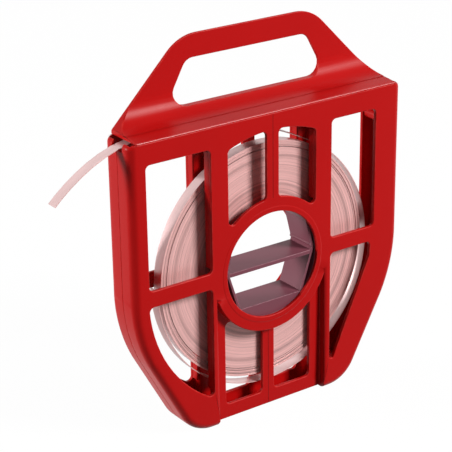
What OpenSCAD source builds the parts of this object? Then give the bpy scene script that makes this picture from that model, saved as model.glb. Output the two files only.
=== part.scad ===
// Banding strap dispenser: two grille shells, a carrying handle, and a reel of steel strap.
// Front is -Y, up is +Z. The origin is on the reel's axis, midway between the shells.

/* [Case] */
// Half of the case's width, from the reel's axis to a side wall
case_half_w = 165.5; // [164:0.5:190]
// Depth of the case, front face to rear face
case_depth = 44; // [40:1:60]
// Height of the shells above the reel's axis
case_top = 160.5; // [156:0.5:185]
// How far the feet stand higher than the lowest point of the round case
foot_rise = 1.5; // [0:0.5:6]
// Thickness of the grille bars
grille_t = 4; // [3:0.5:6]
// Thickness of the side walls
wall_t = 3.5; // [2.5:0.5:5]
// Radius of the case's long outer edges
edge_r = 8; // [4:1:10]
// Half of the distance between the feet's outer corners, before they are rounded
foot_half_w = 115; // [110:1:120]

/* [Grille] */
// Radius of the hub hole
hub_r = 56.5; // [50:0.5:60]
// Radial width of the hub ring
ring_w = 15.5; // [12:0.5:17]
// Nearest reach of the upright bars from the middle
bar_in = 54; // [50:0.5:58]
// Width of the upright bars
bar_w = 20.5; // [15:0.5:24]
// Width of the middle bar
mid_bar_w = 15; // [10:1:20]
// Lower edge of the cross bars
cross_low = -7.5; // [-14:0.5:-4]
// Width of the cross bars
cross_w = 17; // [12:0.5:22]
// Width of the rim above the outer windows
top_rim = 22; // [16:0.5:30]
// Width of the rim above the middle windows, at the middle of the case
mid_top_rim = 17; // [14:0.5:30]
// Width of the rim below the middle windows
low_rim = 17; // [14:0.5:30]
// Width of the rim beside the round window edge
round_rim = 16.5; // [12:0.5:22]
// Width of the rim beside the straight window edge
straight_rim = 33.5; // [26:0.5:44]
// Radius of the window corners
corner_r = 5; // [3:0.5:7]
// Depth of the recess in the lower middle of the grille
recess = 9; // [5:0.5:10]
// Half of the width of the recess
recess_half_w = 68; // [62:0.5:72]

/* [Handle] */
// Thickness of the handle
handle_t = 3; // [2.5:0.5:6]
// Thickness of the top panel
panel_t = 4; // [3:0.5:6]
// Half of the top panel's length
panel_half_w = 157.5; // [150:0.5:160]
// Height of the handle's upper edge above the reel's axis
handle_top = 243; // [230:1:260]
// Half of the handle's length along its upper edge, between the round corners
handle_half_w = 60; // [50:1:85]
// Radius of the handle's upper corners
handle_r = 47; // [20:1:55]
// Height of the hand hole
hand_hole_h = 45.5; // [38:0.5:50]
// Half of the hand hole's length at its upper edge
hand_hole_half_w = 72.5; // [55:0.5:80]
// How far the hand hole widens on each side towards its lower edge
hand_hole_flare = 25; // [0:1:30]
// Height of the handle's grip above the hand hole
grip_h = 24; // [20:0.5:30]
// Radius of the hollow sweep from the panel up to the handle
root_r = 24; // [10:1:28]

/* [Reel] */
// Wall of the reel's barrel
barrel_wall = 4; // [3:0.5:5]
// How far the bearing collars reach in from the hub rings
collar_l = 7; // [5:0.5:9]
// Wall of the bearing collars
collar_t = 3; // [2:0.5:4]
// Thickness of the upper grip slat
slat_t = 4.5; // [3:0.5:7]
// Height of the upper slat's middle above the reel's axis
slat_up_z = -1; // [-4:0.5:6]
// Depth of the lower slat's flat top below the reel's axis
slat_low_z = 41.5; // [30:0.5:44]
// Thickness of the cheeks between the slats
cheek_t = 3; // [2:0.5:4]

/* [Strap] */
// Width of the strap
strap_w = 12.7; // [9:0.1:16]
// Thickness of the strap
strap_t = 0.76; // [0.5:0.02:1]
// Outer radius of the tightly wound strap
wound_r = 119; // [100:1:120]
// Number of loose turns over the tightly wound strap
loose_turns = 6; // [3:1:6]
// Air between the loose turns
loose_gap = 0.6; // [0.5:0.05:0.8]

/* [Clearances] */
// Running clearance of the barrel in its collars
run_fit = 0.08; // [0.05:0.01:0.1]
// End play of the reel at each side
end_play = 0.4; // [0.3:0.05:0.6]
// Free space round the strap in its exit
exit_gap = 2.5; // [2:0.25:4]
// Space between the turning strap and the strap that leaves it
lead_gap = 1; // [0.8:0.1:2]
// Fit of the locating pegs in their sockets
peg_fit = 0.1; // [0.05:0.01:0.2]

/* [Pegs] */
// Radius of the locating pegs
peg_r = 3; // [2.5:0.25:3.5]
// Reach of a peg into the other shell
peg_l = 6; // [4:0.5:8]
// Wall round a peg's socket
boss_wall = 2.5; // [2:0.25:3]

/* [Hidden] */
$fn = 96;
half_d = case_depth / 2;
ring_r = hub_r + ring_w;
bar_out = bar_in + bar_w;
mid_half = mid_bar_w / 2;
cross_high = cross_low + cross_w;
foot_z = foot_rise - case_half_w;
window_top = case_top - top_rim;
mid_window_top = case_top - mid_top_rim;
mid_window_low = foot_z + low_rim;
window_r = case_half_w - round_rim;
window_x = case_half_w - straight_rim;
tiny = 0.01;

// Radius of the case's upper corners
top_corner_r = 5;
// Radius of the feet's outer corners
foot_corner_r = 39;
// The straight flank touches the round case and the foot's round corner
foot_centre = [foot_half_w - foot_corner_r, foot_z + foot_corner_r];
flank_angle =
    atan2(foot_centre[1], foot_centre[0]) + acos((case_half_w - foot_corner_r) / norm(foot_centre));
// Gap between the recessed panel's lower edge and the ground
panel_lift = 1.5;
// The slanted edge of the lower window at +X: its upper and lower ends, and how far it draws in at the top
slant_high = cross_low - 16.5;
slant_low = foot_z + 34;
slant_in = 5;
// Width and corner radius of its lower tip
tip_w = 5;
tip_r = 1.5;

// The barrel shows just outside the hub hole and runs in the collars
barrel_in_r = hub_r + 0.5;
barrel_r = barrel_in_r + barrel_wall;
collar_in_r = barrel_r + run_fit;
barrel_half_l = half_d - grille_t - end_play;
slat_low = -slat_low_z;

// Inner faces of the cheeks: a knee beside the upper slat, closing in above and below it
knee = [barrel_in_r - 4.4, slat_up_z + 5];
cheek_high = [barrel_in_r - 12, 35];
cheek_low = [barrel_in_r - 19.3, slat_low];

// The loose turns are a spiral of short straight steps
steps_per_turn = 72;
loose_pitch = strap_t + loose_gap;
loose_r0 = wound_r + strap_t / 2;
coil_out_r = loose_r0 + loose_turns * loose_pitch + strap_t / 2;
lead_r = coil_out_r + lead_gap + strap_t / 2;
// How far the outermost turn sags below the coil
lead_sag = 9;

handle_y = half_d - handle_t;
panel_top = case_top + panel_t;
panel_front_t = 1.5;
hand_hole_top = handle_top - grip_h;
hand_hole_low = hand_hole_top - hand_hole_h;
hand_hole_r = 13;

exit_half_w = strap_w / 2 + exit_gap;
exit_h = 8;

boss_r = peg_r + boss_wall;
peg_places = [
    [case_half_w - wall_t - boss_r - 1, case_top - 40.5],
    foot_centre + [15, -15]
];

red = [0.71, 0.09, 0.09];
mauve = [0.47, 0.28, 0.33];
steel = [0.86, 0.70, 0.70];

// Points along an arc
function arc_points(r, a0, a1, n, c = [0, 0]) =
    [for (i = [0:n]) let (a = a0 + (a1 - a0) * i / n) c + r * [cos(a), sin(a)]];

function unit(v) = v / norm(v);

// The arc that rounds one corner of an outline, from its neighbours and a radius
function corner_arc(a, p, b, r, n = 6) =
    let (
        u = unit(a - p),
        v = unit(b - p),
        half = acos(u * v) / 2,
        c = p + unit(u + v) * r / sin(half),
        s = p + u * r / tan(half) - c,
        turn = (u[0] * v[1] - u[1] * v[0] > 0 ? -1 : 1) * (180 - 2 * half)
    )
    [for (i = [0:n])
        let (t = turn * i / n)
        c + [s[0] * cos(t) - s[1] * sin(t), s[0] * sin(t) + s[1] * cos(t)]];

// An outline whose corners have their own radii
function rounded(points, radii) =
    let (n = len(points))
    [for (i = [0:n - 1])
        each corner_arc(points[(i + n - 1) % n], points[i], points[(i + 1) % n], radii[i])];

// A flat piece standing in the XZ plane, from y0 to y1
module upright(y0, y1) {
    translate([0, y1, 0])
        rotate([90, 0, 0])
            linear_extrude(height = y1 - y0)
                children();
}

// A band along a route of [x, z] points, as deep as the strap is wide
module strap_band(route) {
    n = len(route);
    side = [for (i = [0:n - 1])
        let (d = unit(route[min(i + 1, n - 1)] - route[max(i - 1, 0)]))
        [-d[1], d[0]] * strap_t / 2];
    upright(-strap_w / 2, strap_w / 2)
        polygon(concat(
            [for (i = [0:n - 1]) route[i] + side[i]],
            [for (i = [n - 1:-1:0]) route[i] - side[i]]
        ));
}

// Outline of the case, drawn in by a wall's thickness everywhere but at its open top
module case_outline(inset = 0) {
    r = case_half_w - inset;
    right = concat(
        arc_points(top_corner_r, 90, 0, 6, [r - top_corner_r, case_top - top_corner_r]),
        arc_points(r, 0, flank_angle, 24),
        arc_points(foot_corner_r - inset, flank_angle, -90, 12, foot_centre)
    );
    polygon(concat(right, [for (i = [len(right) - 1:-1:0]) [-right[i][0], right[i][1]]]));
}

// The lower middle of the grille, below the hub ring, that stands back from the front
module recess_area(grow = 0) {
    difference() {
        translate([-recess_half_w - grow, foot_z - 1])
            square([2 * (recess_half_w + grow), 1 - foot_z]);
        circle(ring_r - grow);
    }
}

// Rounds the outer corners of what it holds
module soft_corners(r = corner_r) {
    offset(r = r) offset(delta = -r) children();
}

// Windows outside one upright bar, at -X, with a round outer edge below the cross bar
module round_windows() {
    translate([1 - window_r, cross_high]) square([window_r - 1 - bar_out, window_top - cross_high]);
    intersection() {
        circle(window_r);
        translate([-window_r, -window_r]) square([window_r - bar_out, window_r + cross_low]);
    }
}

// Windows outside the other upright bar, at +X, with a straight outer edge
module straight_windows() {
    translate([bar_out, cross_high]) square([window_x - bar_out, window_top - cross_high]);
    slanted_window(cross_low);
}

// The lower of them, up to a height
module slanted_window(high) {
    intersection() {
        polygon([
            [bar_out, cross_low], [bar_out, slant_low], [bar_out + tip_w, slant_low],
            [window_x - slant_in, slant_high], [window_x - slant_in + 1, cross_low]
        ]);
        translate([bar_out, slant_low]) square([window_x, high - slant_low]);
    }
}

// Windows between the upright bars, above the hub ring, with a round upper edge
module upper_middle_windows() {
    for (s = [0, 1]) mirror([s, 0])
        difference() {
            intersection() {
                circle(mid_window_top);
                translate([mid_half, 0]) square([bar_in - mid_half, mid_window_top]);
            }
            circle(ring_r);
        }
}

// Windows between the upright bars, below the hub ring, in the recessed part
module lower_middle_windows() {
    for (s = [0, 1]) mirror([s, 0])
        difference() {
            translate([mid_half, mid_window_low]) square([bar_in - mid_half, -mid_window_low]);
            circle(ring_r);
        }
}

// The outer form of one shell, with its long front edges rounded by slices of the outline
module shell_form() {
    steps = 6;
    hull() {
        for (i = [0:steps - 1]) {
            t = 90 * i / steps;
            depth = edge_r * (1 - cos(t));
            upright(depth - half_d, depth - half_d + tiny) case_outline(edge_r * (1 - sin(t)));
        }
        upright(edge_r - half_d, 0) case_outline();
    }
}

// One moulded shell, as it stands at the front. The windows at +X are straight or round.
module shell(straight) {
    difference() {
        union() {
            difference() {
                union() {
                    difference() {
                        shell_form();
                        upright(grille_t - half_d, 1) {
                            case_outline(wall_t);
                            translate([wall_t - case_half_w, 0])
                                square([2 * (case_half_w - wall_t), case_top + 1]);
                        }
                    }
                    upright(grille_t - half_d - tiny, recess + grille_t - half_d) intersection() {
                        recess_area(wall_t);
                        translate([-case_half_w, foot_z + panel_lift]) square([2 * case_half_w, -foot_z]);
                    }
                }
                upright(-half_d - 1, recess - half_d) recess_area();
                upright(-half_d - 1, 1) translate([-recess_half_w, foot_z - 1])
                    square([2 * recess_half_w, panel_lift + 1]);
            }
            upright(grille_t - half_d - tiny, grille_t + collar_l - half_d) difference() {
                circle(collar_in_r + collar_t);
                circle(collar_in_r);
            }
            for (p = peg_places) {
                for (x = [-p[0], p[0]])
                    upright(grille_t - half_d - tiny, 0) translate([x, p[1]]) circle(boss_r);
                upright(-tiny, peg_l) translate(p) circle(peg_r);
            }
        }
        upright(-half_d - 1, grille_t - half_d + 1) {
            soft_corners() {
                round_windows();
                if (straight) straight_windows();
                else mirror([1, 0]) round_windows();
                upper_middle_windows();
            }
            if (straight) soft_corners(tip_r) slanted_window(slant_high);
            circle(hub_r);
        }
        upright(-half_d - 1, 1) soft_corners() lower_middle_windows();
        for (p = peg_places)
            upright(-peg_l - 1, 1) translate([-p[0], p[1]]) circle(peg_r + peg_fit);
        for (s = [0, 1]) mirror([s, 0, 0])
            translate([case_half_w - wall_t - 1, -exit_half_w, case_top - exit_h])
                cube([wall_t + 2, exit_half_w + 1, exit_h + 1]);
    }
}

module front_shell() {
    color(red) shell(true);
}

module rear_shell() {
    color(red) rotate([0, 0, 180]) shell(false);
}

// Outline of the handle, whose straight slopes run from the top panel's ends to its round corners
module handle_outline() {
    corner = [handle_half_w, handle_top - handle_r];
    base = [panel_half_w, panel_top - tiny];
    way = base - corner;
    touch = atan2(way[1], way[0]) + acos(handle_r / norm(way));
    polygon(concat(
        [[-base[0], base[1]], base],
        arc_points(handle_r, touch, 90, 8, corner),
        arc_points(handle_r, 90, 180 - touch, 8, [-corner[0], corner[1]])
    ));
}

// A profile in the YZ plane, as long as the top panel
module along_panel() {
    translate([-panel_half_w, 0, 0]) rotate([90, 0, 90])
        linear_extrude(height = 2 * panel_half_w) children();
}

// The top panel and the handle that sweeps up along its rear edge
module carry_handle() {
    hole_low = hand_hole_half_w + hand_hole_flare;
    color(red) difference() {
        union() {
            along_panel() polygon([
                [-half_d, case_top], [half_d, case_top], [half_d, panel_top],
                [0, panel_top], [-half_d / 2, case_top + 0.75 * panel_t], [-half_d, case_top + panel_front_t]
            ]);
            upright(handle_y, half_d) handle_outline();
            intersection() {
                upright(handle_y - root_r - 1, half_d) handle_outline();
                along_panel() polygon(concat(
                    [
                        [half_d, panel_top + root_r], [half_d, panel_top - tiny],
                        [handle_y - root_r, panel_top - tiny]
                    ],
                    arc_points(root_r, 270, 360, 10, [handle_y - root_r, panel_top + root_r])
                ));
            }
        }
        upright(handle_y - root_r - 1, half_d + 1) polygon(rounded(
            [
                [-hole_low, hand_hole_low], [hole_low, hand_hole_low],
                [hand_hole_half_w, hand_hole_top], [-hand_hole_half_w, hand_hole_top]
            ],
            [for (i = [1:4]) hand_hole_r]
        ));
    }
}

// The reel's barrel, which turns in the shells' collars
module core_barrel() {
    color(mauve) upright(-barrel_half_l, barrel_half_l) difference() {
        circle(barrel_r);
        circle(barrel_in_r);
    }
}

// The slat across the middle of the barrel, between the cheeks
module core_slat_upper() {
    color(mauve) upright(-barrel_half_l, barrel_half_l) intersection() {
        polygon(concat(
            [cheek_low, knee, cheek_high],
            [for (p = [cheek_high, knee, cheek_low]) [-p[0], p[1]]]
        ));
        translate([-barrel_r, slat_up_z - slat_t / 2]) square([2 * barrel_r, slat_t]);
    }
}

// The slat that fills the lowest part of the barrel, under a flat top
module core_slat_lower() {
    color(mauve) upright(-barrel_half_l, barrel_half_l) intersection() {
        circle(barrel_in_r);
        translate([-barrel_r, -barrel_r]) square([2 * barrel_r, barrel_r + slat_low]);
    }
}

// One bent cheek at the +X side of the slats
module cheek() {
    out = [cheek_t, 0];
    upright(-barrel_half_l, barrel_half_l) intersection() {
        circle(barrel_in_r);
        polygon([cheek_low, knee, cheek_high, cheek_high + out, knee + out, cheek_low + out]);
    }
}

module core_cheek_left() {
    color(mauve) mirror([1, 0, 0]) cheek();
}

module core_cheek_right() {
    color(mauve) cheek();
}

// The tightly wound strap, as one solid ring
module strap_coil() {
    color(steel) upright(-strap_w / 2, strap_w / 2) difference() {
        circle(wound_r);
        circle(barrel_r);
    }
}

// The spiral of loose turns over the wound strap
function turn_point(i) =
    let (a = 360 * i / steps_per_turn)
    (loose_r0 + loose_pitch * i / steps_per_turn) * [cos(a), sin(a)];

turn_route = [for (i = [0:steps_per_turn * loose_turns]) turn_point(i)];
turn_gap = min([for (i = [0:steps_per_turn * (loose_turns - 1)])
    norm(turn_route[i + steps_per_turn] - turn_route[i])]) - strap_t;
echo(str("least gap between the loose turns ", turn_gap, " mm"));

module strap_turns() {
    color(steel) strap_band(turn_route);
}

// The strap's way out: round the coil from its left side, then up to the panel and out through the exit
lead_start = 180;
lead_end = 421;
lead_steps = 60;
function lead_point(a) =
    let (hang = sin((a - lead_start) * 180 / (lead_end - lead_start)))
    (lead_r + lead_sag * hang * hang) * [cos(a), sin(a)];

// A smooth curve with its ends at p and s, heading for q and coming from r
function bend_point(p, q, r, s, t) =
    pow(1 - t, 3) * p + 3 * t * pow(1 - t, 2) * q + 3 * t * t * (1 - t) * r + pow(t, 3) * s;

exit_at = [-case_half_w, case_top];
leave = lead_point(lead_end);
leave_aim = leave + 40 * [-sin(lead_end), cos(lead_end)];
under_panel = exit_at + [65.5, -strap_t / 2];
under_aim = under_panel + [70, 0];
tail = [
    [37.5, -strap_t / 2], [13.5, -2.2], [-2.5, -5.7], [-16.5, -10.5], [-29.5, -16.5],
    [-41.5, -23.5], [-53.5, -31.7], [-64.5, -40.5], [-71.5, -47]
];
lead_route = concat(
    [for (i = [0:lead_steps]) lead_point(lead_start + (lead_end - lead_start) * i / lead_steps)],
    [for (i = [1:6]) bend_point(leave, leave_aim, under_aim, under_panel, i / 6)],
    [for (p = tail) exit_at + p]
);

module strap_lead() {
    color(steel) strap_band(lead_route);
}

front_shell();
rear_shell();
carry_handle();
core_barrel();
core_slat_upper();
core_slat_lower();
core_cheek_left();
core_cheek_right();
strap_coil();
strap_turns();
strap_lead();
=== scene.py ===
# %% [markdown]
# # A banding strap dispenser
# Two red plastic shells hold a reel of steel strap. The strap runs under a carrying handle and out at the
# side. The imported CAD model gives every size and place, so this lesson loads it first. Then it dresses the
# shells, the handle and the reel's core with soft edges, and winds the strap as one long band.

# %% Load the frame
import math
import random

import bmesh
import bpy
from mathutils import Matrix, Vector


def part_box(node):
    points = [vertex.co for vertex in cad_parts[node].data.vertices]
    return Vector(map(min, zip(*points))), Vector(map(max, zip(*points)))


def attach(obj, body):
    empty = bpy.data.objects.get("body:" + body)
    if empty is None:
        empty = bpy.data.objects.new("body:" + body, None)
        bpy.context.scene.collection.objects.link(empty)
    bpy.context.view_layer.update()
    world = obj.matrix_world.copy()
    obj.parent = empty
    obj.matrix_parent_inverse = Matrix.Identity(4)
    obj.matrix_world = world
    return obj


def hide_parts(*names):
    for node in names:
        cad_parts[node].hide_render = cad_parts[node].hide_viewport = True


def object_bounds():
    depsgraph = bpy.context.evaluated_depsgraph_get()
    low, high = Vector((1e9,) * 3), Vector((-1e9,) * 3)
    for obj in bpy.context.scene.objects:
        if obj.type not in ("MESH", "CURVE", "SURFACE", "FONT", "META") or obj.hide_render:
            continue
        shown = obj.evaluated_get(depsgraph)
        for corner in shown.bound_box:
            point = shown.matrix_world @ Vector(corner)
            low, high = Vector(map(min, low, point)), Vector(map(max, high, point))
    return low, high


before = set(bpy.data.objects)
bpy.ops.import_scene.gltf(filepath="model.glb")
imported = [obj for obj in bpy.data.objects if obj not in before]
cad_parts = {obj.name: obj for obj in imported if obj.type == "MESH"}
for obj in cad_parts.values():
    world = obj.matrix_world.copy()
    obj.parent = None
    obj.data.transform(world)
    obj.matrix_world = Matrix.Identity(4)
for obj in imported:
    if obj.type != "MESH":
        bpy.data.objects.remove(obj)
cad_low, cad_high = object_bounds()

MM = 0.001
scene = bpy.context.scene
print("CAD box in mm:", [round(v / MM, 1) for v in cad_low], [round(v / MM, 1) for v in cad_high])

# %% [markdown]
# ## The camera
# The photograph was taken from the left, a little above the case. Its viewing angle was found from the
# straight edges and the round hub hole. A camera can be aimed with a constraint, but a matrix built from
# the angle, the height and a small roll is plain to read, and leaves nothing to solve later.

# %% Camera
AZIMUTH = math.radians(35.2)
ELEVATION = math.radians(22.36)
ROLL = math.radians(-0.84)
AIM = Vector((-57.79, -22.0, 56.24)) * MM
DISTANCE = 1564.06 * MM
SENSOR = 36.0
FOCAL_PIXELS = 1600
FRAME_PIXELS = 452

back = Vector((
    -math.sin(AZIMUTH) * math.cos(ELEVATION),
    -math.cos(AZIMUTH) * math.cos(ELEVATION),
    math.sin(ELEVATION),
))
level = Vector((math.cos(AZIMUTH), -math.sin(AZIMUTH), 0))
upright = back.cross(level)
right = math.cos(ROLL) * level + math.sin(ROLL) * upright
up = math.cos(ROLL) * upright - math.sin(ROLL) * level

camera = bpy.data.objects.new("camera", bpy.data.cameras.new("camera"))
camera.data.sensor_width = SENSOR
camera.data.lens = FOCAL_PIXELS / FRAME_PIXELS * SENSOR
turned = Matrix((right, up, back)).transposed().to_4x4()
camera.matrix_world = Matrix.Translation(AIM + DISTANCE * back) @ turned
scene.collection.objects.link(camera)
scene.camera = camera
print("camera at", [round(v, 3) for v in camera.matrix_world.translation], "lens", round(camera.data.lens, 1))

# %% [markdown]
# ## Floor and light
# The photograph has a plain white ground. The floor is a large disc that looks white to the camera and to
# reflections, and still takes a soft shadow from the case. A broad lamp stands in front, to the right and
# high up: it throws the bars' shadows on the coil and draws the bright line along the panel's front edge. A
# second one stands behind, to the left, and lights the side wall and the outside of the coil. The world
# adds only a little, because the photograph's shadows are deep.

# %% Nodes by short calls
def set_inputs(tree, node, inputs):
    """Links a node's inputs to the sockets given for them, or sets them to the values."""
    for name, value in inputs.items():
        if isinstance(value, bpy.types.NodeSocket):
            tree.links.new(value, node.inputs[name])
        else:
            node.inputs[name].default_value = value


def add_node(tree, kind, inputs=None, **settings):
    """A node of that kind, with its settings and its inputs."""
    made = tree.nodes.new("ShaderNode" + kind)
    for name, value in settings.items():
        setattr(made, name, value)
    set_inputs(tree, made, inputs or {})
    return made


def add_math(tree, operation, *values, clamp=False):
    """The result of a Math node on those values."""
    made = add_node(tree, "Math", dict(enumerate(values)), operation=operation, use_clamp=clamp)
    return made.outputs[0]


def seen_rays(tree):
    """1 for rays from the camera, from gloss and through glass, and 0 for the rays that light a surface."""
    path = add_node(tree, "LightPath").outputs
    seen = add_math(tree, "ADD", path["Is Camera Ray"], path["Is Glossy Ray"])
    return add_math(tree, "ADD", seen, path["Is Transmission Ray"], clamp=True)


# %% World
FILL = 0.06
WHITE = (1, 1, 1, 1)

scene.view_settings.view_transform = "Standard"
world = bpy.data.worlds.new("studio")
scene.world = world
world.use_nodes = True
sky = world.node_tree
sky.nodes.clear()
strength = add_node(sky, "MapRange", {"Value": seen_rays(sky), "To Min": FILL, "To Max": 1.0})
even = add_node(sky, "Background", {"Color": WHITE, "Strength": strength.outputs[0]})
add_node(sky, "OutputWorld", {"Surface": even.outputs[0]})
print("world fill", FILL)

# %% Floor
FLOOR_RADIUS = 9.0
FLOOR_SHOWS_WHITE = 0.86
FLOOR_GLOW = 1.14
FLOOR_GREY = (0.15, 0.15, 0.15, 1)

bm = bmesh.new()
bmesh.ops.create_circle(bm, cap_ends=True, radius=FLOOR_RADIUS, segments=96)
bmesh.ops.translate(bm, verts=bm.verts, vec=(0, 0, cad_low.z))
floor_mesh = bpy.data.meshes.new("floor")
bm.to_mesh(floor_mesh)
bm.free()
floor = bpy.data.objects.new("floor", floor_mesh)
scene.collection.objects.link(floor)

paper = bpy.data.materials.new("white_paper")
paper.use_nodes = True
tree = paper.node_tree
tree.nodes.clear()
matte = add_node(tree, "BsdfDiffuse", {"Color": FLOOR_GREY})
glow = add_node(tree, "Emission", {"Color": WHITE, "Strength": FLOOR_GLOW})
share = add_math(tree, "MULTIPLY", seen_rays(tree), FLOOR_SHOWS_WHITE)
mixed = add_node(tree, "MixShader", {0: share, 1: matte.outputs[0], 2: glow.outputs[0]})
add_node(tree, "OutputMaterial", {"Surface": mixed.outputs[0]})
floor.data.materials.append(paper)
print("floor at", round(cad_low.z / MM, 1), "mm")

# %% Lamps
LAMPS_AIM = Vector((0, 0, 40)) * MM


def softbox(name, direction, distance, size, watts):
    """A square lamp that looks at the middle of the case."""
    lamp = bpy.data.lights.new(name, "AREA")
    lamp.shape = "SQUARE"
    lamp.size = size
    lamp.energy = watts
    stand = bpy.data.objects.new(name, lamp)
    away = Vector(direction).normalized()
    facing = away.to_track_quat("Z", "Y").to_matrix().to_4x4()
    stand.matrix_world = Matrix.Translation(LAMPS_AIM + distance * away) @ facing
    scene.collection.objects.link(stand)
    return stand


softbox("key", direction=(0.46, -0.72, 0.52), distance=5.0, size=1.5, watts=315.0)
softbox("side", direction=(-0.85, 0.42, 0.2), distance=4.0, size=1.2, watts=175.0)

# %% [markdown]
# ## Grain, wear and streaks as node groups
# Moulded plastic is never one flat colour. It has a fine satin grain, a slow drift of tone, and edges that
# are rubbed paler. Steel strap has long streaks from the rolls and from the slitting knives. Each effect is
# a node group that several materials share, so that it is written once and set for each finish.

# %% Group sockets
def new_group(name, inputs, outputs):
    """An empty shader node group with its sockets, and its input and output nodes."""
    group = bpy.data.node_groups.new(name, "ShaderNodeTree")
    for label, kind, value in inputs:
        socket = group.interface.new_socket(label, in_out="INPUT", socket_type=kind)
        socket.default_value = value
    for label, kind in outputs:
        group.interface.new_socket(label, in_out="OUTPUT", socket_type=kind)
    return group, group.nodes.new("NodeGroupInput"), group.nodes.new("NodeGroupOutput")


def use_group(tree, group, **values):
    """That group as a node in a material, with its inputs by name."""
    made = add_node(tree, "Group", node_tree=group)
    set_inputs(tree, made, {name.replace("_", " "): value for name, value in values.items()})
    return made


# %% Moulded grain
COLOUR, VALUE = "NodeSocketColor", "NodeSocketFloat"
GREY = (0.5, 0.5, 0.5, 1)
DRIFT_PER_M, BLOTS_PER_M, GRAIN_PER_M = 14.0, 120.0, 950.0

moulded_grain, put, out = new_group(
    "moulded_grain",
    [("Colour", COLOUR, GREY), ("Drift", VALUE, 0.1), ("Roughness", VALUE, 0.4), ("Spread", VALUE, 0.1)],
    [("Colour", COLOUR), ("Roughness", VALUE), ("Height", VALUE)],
)
asked = put.outputs
place = add_node(moulded_grain, "TexCoord").outputs["Object"]
slow = add_node(moulded_grain, "TexNoise", {"Vector": place, "Scale": DRIFT_PER_M, "Detail": 3.0})
fine = add_node(moulded_grain, "TexNoise", {"Vector": place, "Scale": GRAIN_PER_M, "Detail": 2.0})
blot = add_node(moulded_grain, "TexNoise", {
    "Vector": place, "Scale": BLOTS_PER_M, "Detail": 4.0, "Roughness": 0.6})
tone = add_node(moulded_grain, "MapRange", {
    "Value": slow.outputs[0], "From Min": 0.3, "From Max": 0.7, "To Min": -0.5, "To Max": 0.5})
drift = add_math(moulded_grain, "MULTIPLY_ADD", tone.outputs[0], asked["Drift"], 1.0)
tinted = add_node(moulded_grain, "VectorMath", {0: asked["Colour"], "Scale": drift}, operation="SCALE")
patch = add_math(moulded_grain, "ADD", blot.outputs[0], -0.5)
dull = add_math(moulded_grain, "MULTIPLY_ADD", patch, asked["Spread"], asked["Roughness"])
moulded_grain.links.new(tinted.outputs[0], out.inputs["Colour"])
moulded_grain.links.new(dull, out.inputs["Roughness"])
moulded_grain.links.new(fine.outputs[0], out.inputs["Height"])
print("group", moulded_grain.name)

# %% Rubbed edges
RUBS_PER_M = 60.0
# A Mix node has sockets of the same names for values and colours, so those for colours go by number.
MIX_SHARE, MIX_FIRST, MIX_SECOND, MIX_RESULT = 0, 6, 7, 2

rubbed_edges, put, out = new_group(
    "rubbed_edges",
    [("Colour", COLOUR, GREY), ("Rubbed", COLOUR, (0.8, 0.8, 0.8, 1)), ("Amount", VALUE, 0.4)],
    [("Colour", COLOUR)],
)
asked = put.outputs
rim = add_node(rubbed_edges, "Attribute", attribute_name="rim").outputs["Fac"]
place = add_node(rubbed_edges, "TexCoord").outputs["Object"]
spots = add_node(rubbed_edges, "TexNoise", {
    "Vector": place, "Scale": RUBS_PER_M, "Detail": 5.0, "Roughness": 0.7})
patchy = add_node(rubbed_edges, "MapRange", {"Value": spots.outputs[0], "From Min": 0.38, "From Max": 0.62})
worn = add_math(rubbed_edges, "MULTIPLY", rim, patchy.outputs[0])
mask = add_math(rubbed_edges, "MULTIPLY", worn, asked["Amount"])
paler = add_node(rubbed_edges, "Mix", {
    MIX_SHARE: mask, MIX_FIRST: asked["Colour"], MIX_SECOND: asked["Rubbed"]}, data_type="RGBA")
rubbed_edges.links.new(paler.outputs[MIX_RESULT], out.inputs["Colour"])
print("group", rubbed_edges.name)

# %% Moulded lines
RIM_RADIUS, RIM_SLOPE = 62 * MM, 0.5 * MM
SEAM_HALF, SEAM_FROM, SEAM_TOP = 0.4 * MM, 72 * MM, 159 * MM
FACES_FROM = 12.5 * MM

moulded_lines, put, out = new_group(
    "moulded_lines", [("Seam Shade", VALUE, 0.5)], [("Shade", VALUE), ("Height", VALUE)])
place = add_node(moulded_lines, "TexCoord").outputs["Object"]
axes = add_node(moulded_lines, "SeparateXYZ", {0: place}).outputs
flat = add_node(moulded_lines, "CombineXYZ", {"X": axes["X"], "Z": axes["Z"]})
radius = add_node(moulded_lines, "VectorMath", {0: flat.outputs[0]}, operation="LENGTH").outputs["Value"]
depth = add_math(moulded_lines, "ABSOLUTE", axes["Y"])
seam = add_math(moulded_lines, "COMPARE", axes["X"], 0.0, SEAM_HALF)
for value, limit, side in (
    (radius, SEAM_FROM, "GREATER_THAN"),
    (axes["Z"], SEAM_TOP, "LESS_THAN"),
    (depth, FACES_FROM, "GREATER_THAN"),
):
    seam = add_math(moulded_lines, "MULTIPLY", seam, add_math(moulded_lines, side, value, limit))
# Painted shade: the seam's colour is darkened for the shadow that falls in its groove, beside the bump that
# dips it.
shade = add_node(moulded_lines, "MapRange", {
    "Value": seam, "To Min": 1.0, "To Max": put.outputs["Seam Shade"]})
rim_step = add_node(moulded_lines, "MapRange", {
    "Value": radius, "From Min": RIM_RADIUS - RIM_SLOPE, "From Max": RIM_RADIUS + RIM_SLOPE,
    "To Min": 1.0, "To Max": 0.0})
height = add_math(moulded_lines, "SUBTRACT", rim_step.outputs[0], seam)
moulded_lines.links.new(shade.outputs[0], out.inputs["Shade"])
moulded_lines.links.new(height, out.inputs["Height"])
print("group", moulded_lines.name)

# %% Rolled streaks
STREAKS_PER_M, STAINS_PER_M = (6.0, 1800.0, 1.0), (22.0, 90.0, 1.0)

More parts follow.
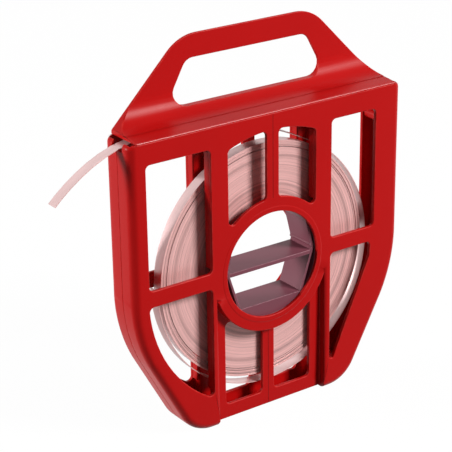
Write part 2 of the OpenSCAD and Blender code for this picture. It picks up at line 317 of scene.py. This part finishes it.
rolled_streaks, put, out = new_group(
    "rolled_streaks",
    [("Colour", COLOUR, (0.8, 0.8, 0.8, 1)), ("Streak", VALUE, 0.2), ("Roughness", VALUE, 0.3)],
    [("Colour", COLOUR), ("Roughness", VALUE), ("Height", VALUE)],
)
asked = put.outputs
along = add_node(rolled_streaks, "Attribute", attribute_name="along").outputs["Fac"]
across = add_node(rolled_streaks, "Attribute", attribute_name="across").outputs["Fac"]
turn_tone = add_node(rolled_streaks, "Attribute", attribute_name="tone").outputs["Fac"]
on_strap = add_node(rolled_streaks, "CombineXYZ", {"X": along, "Y": across}).outputs[0]
drawn = add_node(rolled_streaks, "VectorMath", {0: on_strap, 1: STREAKS_PER_M}, operation="MULTIPLY")
lines = add_node(rolled_streaks, "TexNoise", {"Vector": drawn.outputs[0], "Scale": 1.0, "Detail": 3.0})
stained = add_node(rolled_streaks, "VectorMath", {0: on_strap, 1: STAINS_PER_M}, operation="MULTIPLY")
stains = add_node(rolled_streaks, "TexNoise", {"Vector": stained.outputs[0], "Scale": 1.0, "Detail": 2.0})
line = add_math(rolled_streaks, "ADD", lines.outputs[0], -0.5)
stain = add_math(rolled_streaks, "ADD", stains.outputs[0], -0.5)
both = add_math(rolled_streaks, "ADD", line, stain)
bright = add_math(rolled_streaks, "MULTIPLY_ADD", both, asked["Streak"], turn_tone)
steel_tint = add_node(rolled_streaks, "VectorMath", {0: asked["Colour"], "Scale": bright}, operation="SCALE")
rougher = add_math(rolled_streaks, "MULTIPLY_ADD", line, 0.25, asked["Roughness"])
rolled_streaks.links.new(steel_tint.outputs[0], out.inputs["Colour"])
rolled_streaks.links.new(rougher, out.inputs["Roughness"])
rolled_streaks.links.new(lines.outputs[0], out.inputs["Height"])
print("group", rolled_streaks.name)

# %% [markdown]
# ## The finishes
# The case is one bright red satin plastic, the reel's core a darker mauve one with a wetter gloss, and the
# strap is steel with a faint rosy cast. The shader stays in each material, and the groups feed its colour,
# its roughness and a fine bump.

# %% Plastic finishes
GRAIN_DEPTH, GRAIN_STRENGTH = 0.03 * MM, 0.35
# The seam's colour is multiplied by the seam value below: painted shade for its groove.
LINE_DEPTH, SEAM_PAINTED_SHADE = 0.35 * MM, 0.5
LIP_ROUGHNESS = 0.35


def plastic(name, colour, rubbed, amount, drift, roughness, spread, specular, lines=False):
    """Moulded plastic: grain and drift first, then rubbed edges, the glossy lip, and lines with a
    painted-shade seam.
    """
    made = bpy.data.materials.new(name)
    made.use_nodes = True
    tree = made.node_tree
    shader = tree.nodes["Principled BSDF"]
    grain = use_group(tree, moulded_grain, Colour=colour, Drift=drift, Roughness=roughness, Spread=spread)
    edge = use_group(tree, rubbed_edges, Colour=grain.outputs["Colour"], Rubbed=rubbed, Amount=amount)
    shown = edge.outputs["Colour"]
    bump = add_node(tree, "Bump", {
        "Height": grain.outputs["Height"], "Strength": GRAIN_STRENGTH, "Distance": GRAIN_DEPTH})
    if lines:
        lip = add_node(tree, "Attribute", attribute_name="lip").outputs["Fac"]
        set_inputs(tree, shader, {"Coat Weight": lip, "Coat Roughness": LIP_ROUGHNESS})
        line = use_group(tree, moulded_lines, Seam_Shade=SEAM_PAINTED_SHADE).outputs
        # Painted shade: the moulded lines darken the seam's colour here.
        shown = add_node(tree, "VectorMath", {0: shown, "Scale": line["Shade"]}, operation="SCALE").outputs[0]
        bump = add_node(tree, "Bump", {
            "Height": line["Height"], "Normal": bump.outputs[0], "Strength": 1.0, "Distance": LINE_DEPTH})
    set_inputs(tree, shader, {
        "Base Color": shown, "Roughness": grain.outputs["Roughness"], "Normal": bump.outputs[0],
        "Specular IOR Level": specular})
    return made


red_plastic = plastic(
    "red_plastic", colour=(0.45, 0.004, 0.004, 1), rubbed=(0.7, 0.06, 0.05, 1), amount=0.4, drift=0.04,
    roughness=0.34, spread=0.06, specular=0.1, lines=True)
mauve_plastic = plastic(
    "mauve_plastic", colour=(0.175, 0.05, 0.07, 1), rubbed=(0.42, 0.2, 0.24, 1), amount=0.5, drift=0.08,
    roughness=0.36, spread=0.08, specular=0.2)
print("finishes:", red_plastic.name, mauve_plastic.name)

# %% Strap finish
CUT_EDGE, ROLLED_FACE = (0.74, 0.42, 0.4, 1), (0.76, 0.54, 0.53, 1)
CUT_METALLIC, ROLLED_METALLIC = 0.15, 0.55
STREAK_DEPTH, STREAK_STRENGTH = 0.05 * MM, 0.2

strap_steel = bpy.data.materials.new("strap_steel")
strap_steel.use_nodes = True
tree = strap_steel.node_tree
broad = add_node(tree, "Attribute", attribute_name="broad").outputs["Fac"]
tint = add_node(tree, "Mix", {
    MIX_SHARE: broad, MIX_FIRST: CUT_EDGE, MIX_SECOND: ROLLED_FACE}, data_type="RGBA")
shine = add_node(tree, "MapRange", {"Value": broad, "To Min": CUT_METALLIC, "To Max": ROLLED_METALLIC})
streaks = use_group(
    tree, rolled_streaks, Colour=tint.outputs[MIX_RESULT], Streak=0.35, Roughness=0.32).outputs
bump = add_node(tree, "Bump", {
    "Height": streaks["Height"], "Strength": STREAK_STRENGTH, "Distance": STREAK_DEPTH})
set_inputs(tree, tree.nodes["Principled BSDF"], {
    "Base Color": streaks["Colour"], "Roughness": streaks["Roughness"], "Normal": bump.outputs[0],
    "Metallic": shine.outputs[0], "Specular IOR Level": 0.3})
print("finish:", strap_steel.name)

# %% [markdown]
# ## Soft edges on the moulded pieces
# The CAD solids have the right shapes, but their window edges are knife sharp, and no moulding comes out of
# its tool like that. A copy of a node's mesh is welded, its flat faces are joined again, and the sharp
# edges get a small round bevel. The new faces carry a mark, so that the material knows where an edge is
# rubbed. Two kinds of edge get a wider round first: the front lip of the top panel, which catches the
# light as a bright line, and the upright edges of the recess in the lower middle.

# %% Pieces from a mesh
SMOOTH_BELOW = math.radians(40)


def finish_piece(bm, name, body, material, stands_for=()):
    """Makes the mesh an object that moves with its body, with smooth shading between its sharp edges."""
    mesh = bpy.data.meshes.new(name)
    bm.to_mesh(mesh)
    bm.free()
    mesh.shade_smooth()
    mesh.set_sharp_from_angle(angle=SMOOTH_BELOW)
    mesh.materials.clear()
    mesh.materials.append(material)
    piece = bpy.data.objects.new(name, mesh)
    scene.collection.objects.link(piece)
    weigh = piece.modifiers.new("flat faces stay flat", "WEIGHTED_NORMAL")
    weigh.keep_sharp = True
    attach(piece, body)
    if stands_for:
        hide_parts(*stands_for)
    print(name, len(mesh.polygons), "faces, on", body)
    return piece


# %% Bevelled copies
WELD = 0.03 * MM
FLAT_WITHIN = math.radians(0.6)
SHARP_ABOVE = math.radians(38)


def welded_copy(node):
    """A copy of a CAD node's mesh with its points merged and its flat faces joined into convex ones."""
    bm = bmesh.new()
    bm.from_mesh(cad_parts[node].data)
    bmesh.ops.remove_doubles(bm, verts=bm.verts, dist=WELD)
    bmesh.ops.dissolve_limit(bm, angle_limit=FLAT_WITHIN, verts=bm.verts, edges=bm.edges)
    bmesh.ops.connect_verts_concave(bm, faces=bm.faces)
    return bm


def bevel(bm, edges, width, steps, mark=None):
    """Rounds those edges, and marks the new faces with a layer of that name, for the materials to read."""
    # A new layer makes the faces known so far invalid, so it comes before the bevel.
    layer = bm.faces.layers.float.new(mark) if mark else None
    made = bmesh.ops.bevel(bm, geom=edges, offset=width, offset_type="OFFSET", segments=steps, profile=0.5,
                           affect="EDGES", clamp_overlap=False, material=-1)
    if layer:
        for f in made["faces"]:
            f[layer] = 1.0


def round_edges(bm, width, steps=3):
    """Rounds every sharp edge, and marks the new faces as rim."""
    sharp = [e for e in bm.edges if len(e.link_faces) == 2 and e.calc_face_angle() > SHARP_ABOVE]
    bevel(bm, sharp, width, steps, "rim")
    return len(sharp)


# %% Edges with a wider round
PANEL_LIP, LIP_STEPS = 1.3 * MM, 5
RECESS_HALF, RECESS_ROUND, RECESS_STEPS = 68 * MM, 3.8 * MM, 5


def is_panel_lip(edge):
    """Whether an edge runs along the top of the panel's front, where the photograph has a bright line."""
    a, b = (v.co for v in edge.verts)
    panel_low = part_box("carry_handle")[0].z
    in_front = max(a.y, b.y) < cad_low.y + WELD
    return in_front and min(a.z, b.z) > panel_low + WELD and abs(a.z - b.z) < WELD


def is_recess_edge(edge):
    """Whether an edge stands upright at the side of the recessed lower middle, out at the shell's face."""
    a, b = (v.co for v in edge.verts)
    return (
        abs(a.z - b.z) > WELD
        and all(abs(abs(p.x) - RECESS_HALF) < WELD and abs(p.y) > cad_high.y - WELD for p in (a, b))
    )


print("recess edges at", round(RECESS_HALF / MM, 1), "mm to both sides")

# %% Case pieces
CASE_ROUND = 0.9 * MM

for node in ("front_shell", "rear_shell", "carry_handle"):
    bm = welded_copy(node)
    if node == "carry_handle":
        bevel(bm, [e for e in bm.edges if is_panel_lip(e)], PANEL_LIP, LIP_STEPS, "lip")
    else:
        bevel(bm, [e for e in bm.edges if is_recess_edge(e)], RECESS_ROUND, RECESS_STEPS)
    rounded = round_edges(bm, CASE_ROUND)
    finish_piece(bm, node + "_moulding", "case", red_plastic, [node])
    print(node, "edges rounded:", rounded)

# %% [markdown]
# ## Lips along the upright bars
# Seen from inside, the upright bars of the grille are channels: a thin lip stands along both of their
# edges. The window walls already follow that course. A copy of them is moved on behind the bars, set back a
# hair from the window, and given a thickness.

# %% Bar lips
GRILLE_THICKNESS = 4 * MM
LIP_DEPTH, LIP_THICKNESS, LIP_SETBACK, LIP_ROUND = 8 * MM, 2.2 * MM, 0.15 * MM, 0.5 * MM
SIDEWAYS = 0.95
BARS_FROM, BARS_TO = 50 * MM, 80 * MM


def is_bar_edge(face, outside):
    """Whether a face is a window's wall along an upright bar, as deep as the bar, and not in the hub hole."""
    depths = [abs(outside - v.co.y) for v in face.verts]
    middle = face.calc_center_median()
    return (
        abs(face.normal.x) > SIDEWAYS
        and BARS_FROM < abs(middle.x) < BARS_TO
        and math.hypot(middle.x, middle.z) > RIM_RADIUS
        and min(depths) < WELD
        and abs(max(depths) - GRILLE_THICKNESS) < WELD
    )


def bar_lips(node, outside):
    """The lips of one shell, from the walls along its upright bars."""
    bm = welded_copy(node)
    others = [f for f in bm.faces if not is_bar_edge(f, outside)]
    bmesh.ops.delete(bm, geom=others, context="FACES")
    bm.normal_update()
    inside = outside - math.copysign(GRILLE_THICKNESS, outside)
    for v in bm.verts:
        v.co -= LIP_SETBACK * v.normal
        v.co.y = inside + (v.co.y - outside) * LIP_DEPTH / GRILLE_THICKNESS
    bmesh.ops.solidify(bm, geom=bm.faces[:], thickness=LIP_THICKNESS)
    bmesh.ops.recalc_face_normals(bm, faces=bm.faces)
    round_edges(bm, LIP_ROUND, steps=2)
    return bm


for node, outside in (("front_shell", cad_low.y), ("rear_shell", cad_high.y)):
    finish_piece(bar_lips(node, outside), node + "_lips", "case", red_plastic)

# %% [markdown]
# ## The reel's core
# The core is a barrel with two slats across it and a cheek at each end of the slats. These nodes have the
# right shapes, so they only get soft edges. The two small ribs at the knees of the cheeks are too fine for
# the solids, and each is a short round bar.

# %% Core pieces
CORE_ROUND = 0.6 * MM

for node in ("core_barrel", "core_slat_upper", "core_slat_lower", "core_cheek_left", "core_cheek_right"):
    bm = welded_copy(node)
    rounded = round_edges(bm, CORE_ROUND)
    finish_piece(bm, node + "_moulding", "reel", mauve_plastic, [node])
    print(node, "edges rounded:", rounded)

# %% Knee ribs
KNEE, RIB_RADIUS, RIB_SHORTER = Vector((53.3, 0, 6.3)) * MM, 2.4 * MM, 0.6 * MM
slat_low, slat_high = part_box("core_slat_upper")
RIB_LENGTH = slat_high.y - slat_low.y - RIB_SHORTER

for side, name in ((-1, "left"), (1, "right")):
    bm = bmesh.new()
    bmesh.ops.create_cone(
        bm, cap_ends=True, segments=24, radius1=RIB_RADIUS, radius2=RIB_RADIUS, depth=RIB_LENGTH)
    bmesh.ops.rotate(bm, verts=bm.verts, cent=(0, 0, 0), matrix=Matrix.Rotation(math.pi / 2, 3, "X"))
    bmesh.ops.translate(bm, verts=bm.verts, vec=(side * KNEE.x, 0, KNEE.z))
    round_edges(bm, CORE_ROUND)
    finish_piece(bm, "core_knee_rib_" + name, "reel", mauve_plastic)

# %% [markdown]
# ## The wound strap
# The coil on the reel is one band of steel, wound some eighty times. A row of closed rings would look much
# the same from the front, but it would not be a coil. The Screw modifier winds the band's cross-section
# like a wide thread. Then every point slides back along the axis, and out by one thickness a turn, which
# lays the thread flat as a spiral.

# %% Broad faces and cut edges
CUT_EDGE_TURN = 0.5


def mark_broad(bm):
    """Marks the strap's broad faces, which are rolled smoother than its cut edges."""
    broad_mark = bm.faces.layers.float.new("broad")
    bm.normal_update()
    for f in bm.faces:
        f[broad_mark] = float(abs(f.normal.y) < CUT_EDGE_TURN)


# %% Winding by a screw
STRAP_WIDTH = 12.7 * MM
STRAP_THICKNESS = 0.76 * MM
BAND_THICKNESS = STRAP_THICKNESS * 0.94
# The screw moves on by this much a turn, in metres. It is far more than the band's width, so that a point's
# place along the axis tells its turn.
SPREAD = 3.0


def screw_band(name, radius, turns, steps, thickness):
    """The band's cross-section, wound about the Y axis like a wide thread."""
    bm = bmesh.new()
    bmesh.ops.create_grid(bm, x_segments=1, y_segments=1, size=0.5)
    bmesh.ops.delete(bm, geom=bm.faces[:], context="FACES_ONLY")
    bmesh.ops.scale(bm, verts=bm.verts, vec=(thickness, STRAP_WIDTH, 1))
    bmesh.ops.translate(bm, verts=bm.verts, vec=(radius, 0, 0))
    section = bpy.data.meshes.new(name + "_section")
    bm.to_mesh(section)
    bm.free()
    spool = bpy.data.objects.new(name + "_section", section)
    scene.collection.objects.link(spool)
    screw = spool.modifiers.new("wind", "SCREW")
    screw.axis = "Y"
    screw.angle = 2 * math.pi
    screw.iterations = turns
    screw.steps = screw.render_steps = steps
    screw.screw_offset = SPREAD
    screw.use_merge_vertices = False
    bpy.context.view_layer.update()
    wound = bpy.data.meshes.new_from_object(spool.evaluated_get(bpy.context.evaluated_depsgraph_get()))
    bpy.data.objects.remove(spool)
    bm = bmesh.new()
    bm.from_mesh(wound)
    return bm


print("strap", round(STRAP_WIDTH / MM, 1), "by", round(STRAP_THICKNESS / MM, 2), "mm")

# %% Laying the thread flat
def between(values, place):
    """The value at a place between two entries of a list."""
    i = min(int(place), len(values) - 2)
    return values[i] + (values[i + 1] - values[i]) * (place - i)


def wind(name, radius, pitch, turns, steps, thickness, sway, tones):
    """A spiral band: sway gives its side step and hang by turn and angle, tones its brightness by turn."""
    bm = screw_band(name, radius, turns, steps, thickness)
    along_mark = bm.verts.layers.float.new("along")
    across_mark = bm.verts.layers.float.new("across")
    tone_mark = bm.verts.layers.float.new("tone")
    for v in bm.verts:
        step = round(v.co.y * steps / SPREAD)
        turn = step / steps
        y = v.co.y - step * SPREAD / steps
        old = math.hypot(v.co.x, v.co.z)
        side, hang = sway(turn, math.atan2(v.co.z, v.co.x))
        new = old + pitch * turn + hang
        v[along_mark] = 2 * math.pi * turn * (radius + pitch * turn / 2)
        v[across_mark] = y
        v[tone_mark] = between(tones, turn)
        v.co = (v.co.x * new / old, y + side, v.co.z * new / old)
    bmesh.ops.holes_fill(bm, edges=[e for e in bm.edges if e.is_boundary], sides=4)
    bmesh.ops.recalc_face_normals(bm, faces=bm.faces)
    mark_broad(bm)
    return bm


# %% The tight coil
COIL_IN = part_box("core_barrel")[1].x
COIL_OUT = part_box("strap_coil")[1].x
coil_turns = int((COIL_OUT - COIL_IN) / STRAP_THICKNESS)
coil_pitch = (COIL_OUT - COIL_IN) / coil_turns

COIL_STEPS, COIL_AIR = 96, 0.05 * MM
# The most that a turn steps aside, in mm, and the share of the last turn's step that it keeps.
ASIDE, ASIDE_KEPT = 0.11, 0.2
COIL_SHADES = (0.72, 0.88, 0.96, 1.0, 1.04, 1.1)

dice = random.Random(11)
steps_aside = [0.0]
for i in range(coil_turns + 1):
    steps_aside.append(ASIDE_KEPT * steps_aside[-1] + dice.uniform(-ASIDE, ASIDE) * MM)
coil_tones = [dice.choice(COIL_SHADES) for i in range(coil_turns + 2)]


def tight_sway(turn, angle):
    """Tight turns step aside a little, and don't hang."""
    return between(steps_aside, turn), 0.0


bm = wind("wound_strap", COIL_IN + coil_pitch / 2, coil_pitch * (coil_turns - 1) / coil_turns, coil_turns,
          COIL_STEPS, coil_pitch - COIL_AIR, tight_sway, coil_tones)
finish_piece(bm, "wound_strap", "reel", strap_steel, ["strap_coil"])
print("turns", coil_turns, "pitch", round(coil_pitch / MM, 3), "mm")

# %% The loose turns
LOOSE_TURNS, LOOSE_STEPS = 8, 120
LOOSE_PITCH = 1.04 * STRAP_THICKNESS
# How far each turn hangs below the coil, and the most that it leans to a side, in mm.
HANGS = [0, 0, 0.9, 0.9, 0.9, 2.0, 2.0, 2.0, 2.0, 2.0]
LEAN = 0.5
DARKEST, BRIGHTEST = 0.92, 1.08

loose_aside = [dice.uniform(-LEAN, LEAN) * MM for i in range(LOOSE_TURNS + 2)]
loose_tones = [dice.uniform(DARKEST, BRIGHTEST) for i in range(LOOSE_TURNS + 2)]


def loose_sway(turn, angle):
    """Loose turns lean to one side, lie close above, and hang apart under the coil."""
    low = max(0.0, -math.sin(angle))
    return between(loose_aside, turn), between(HANGS, turn) * MM * low


bm = wind("loose_strap", COIL_OUT + STRAP_THICKNESS / 2, LOOSE_PITCH, LOOSE_TURNS, LOOSE_STEPS,
          BAND_THICKNESS, loose_sway, loose_tones)
finish_piece(bm, "loose_strap", "reel", strap_steel, ["strap_turns"])

# %% [markdown]
# ## The strap that leaves the case
# The last turn hangs loose round the coil, climbs to the panel and leaves through a slot at the side. Its
# cross-section is walked along a route: at each step the open end is extruded, moved on and turned into the
# new direction. The route repeats the one in the CAD source, so the band lies where its solid is.

# %% The route
CASE_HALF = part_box("front_shell")[1].x
CASE_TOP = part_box("carry_handle")[0].z
LEAD_AIR, LEAD_SAG = 1.0 * MM, 9.0 * MM
LEAD_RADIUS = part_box("strap_turns")[1].x + LEAD_AIR + STRAP_THICKNESS / 2
PANEL_RUN = 65.5 * MM
LEAD_FROM, LEAD_TO, LEAD_STEPS = math.radians(180), math.radians(421), 90


def lead_point(angle):
    """A point of the hanging turn, in the XZ plane."""
    hang = math.sin((angle - LEAD_FROM) * math.pi / (LEAD_TO - LEAD_FROM))
    return (LEAD_RADIUS + LEAD_SAG * hang * hang) * Vector((math.cos(angle), 0, math.sin(angle)))


exit_at = Vector((-CASE_HALF, 0, CASE_TOP))
leave = lead_point(LEAD_TO)
under_panel = exit_at + Vector((PANEL_RUN, 0, -STRAP_THICKNESS / 2))
print("hanging turn at radius", round(LEAD_RADIUS / MM, 2), "leaves at", [round(v / MM, 1) for v in leave])

# %% The rest of the route
LEAVE_AIM, PANEL_AIM, BEND_STEPS = 40 * MM, 70 * MM, 12
# The free end, in mm from the exit, along X and Z.
TAIL = [
    (37.5, -0.38), (13.5, -2.2), (-2.5, -5.7), (-16.5, -10.5), (-29.5, -16.5),
    (-41.5, -23.5), (-53.5, -31.7), (-64.5, -40.5), (-71.5, -47),
]


def bezier(points, t):
    """The point at t, from 0 to 1, on a curve with two ends and two handles."""
    a, b, c, d = points
    return (1 - t) ** 3 * a + 3 * t * (1 - t) ** 2 * b + 3 * t * t * (1 - t) * c + t ** 3 * d


heading = Vector((-math.sin(LEAD_TO), 0, math.cos(LEAD_TO)))
bend = [leave, leave + LEAVE_AIM * heading, under_panel + Vector((PANEL_AIM, 0, 0)), under_panel]
route = [lead_point(LEAD_FROM + (LEAD_TO - LEAD_FROM) * i / LEAD_STEPS) for i in range(LEAD_STEPS + 1)]
route += [bezier(bend, i / BEND_STEPS) for i in range(1, BEND_STEPS + 1)]
route += [exit_at + Vector((x * MM, 0, z * MM)) for x, z in TAIL]
print("route", len(route), "points,", round(sum((b - a).length for a, b in zip(route, route[1:])), 3), "m")

# %% Walking the band along it
bm = bmesh.new()
along_mark = bm.verts.layers.float.new("along")
across_mark = bm.verts.layers.float.new("across")
tone_mark = bm.verts.layers.float.new("tone")
bmesh.ops.create_grid(bm, x_segments=1, y_segments=1, size=0.5)
bmesh.ops.scale(bm, verts=bm.verts, vec=(BAND_THICKNESS, STRAP_WIDTH, 1))


def course(i):
    """The band's direction at a point of the route, as an angle about the Y axis."""
    ahead = route[min(i + 1, len(route) - 1)] - route[max(i - 1, 0)]
    return math.atan2(ahead.x, ahead.z)


facing = course(0)
bmesh.ops.rotate(bm, verts=bm.verts, cent=(0, 0, 0), matrix=Matrix.Rotation(facing, 3, "Y"))
bmesh.ops.translate(bm, verts=bm.verts, vec=route[0])
walked = 0.0
end = bm.faces[:]
for v in bm.verts:
    v[across_mark], v[tone_mark] = v.co.y, 1.0
for i in range(1, len(route)):
    grown = bmesh.ops.extrude_face_region(bm, geom=end)["geom"]
    verts = [g for g in grown if isinstance(g, bmesh.types.BMVert)]
    if i > 1:
        bmesh.ops.delete(bm, geom=end, context="FACES_ONLY")
    end = [g for g in grown if isinstance(g, bmesh.types.BMFace)]
    bmesh.ops.translate(bm, verts=verts, vec=route[i] - route[i - 1])
    bmesh.ops.rotate(bm, verts=verts, cent=route[i], matrix=Matrix.Rotation(course(i) - facing, 3, "Y"))
    facing = course(i)
    walked += (route[i] - route[i - 1]).length
    for v in verts:
        v[along_mark], v[across_mark], v[tone_mark] = walked, v.co.y, 1.0
bmesh.ops.recalc_face_normals(bm, faces=bm.faces)
mark_broad(bm)
finish_piece(bm, "strap_lead_band", "case", strap_steel, ["strap_lead"])
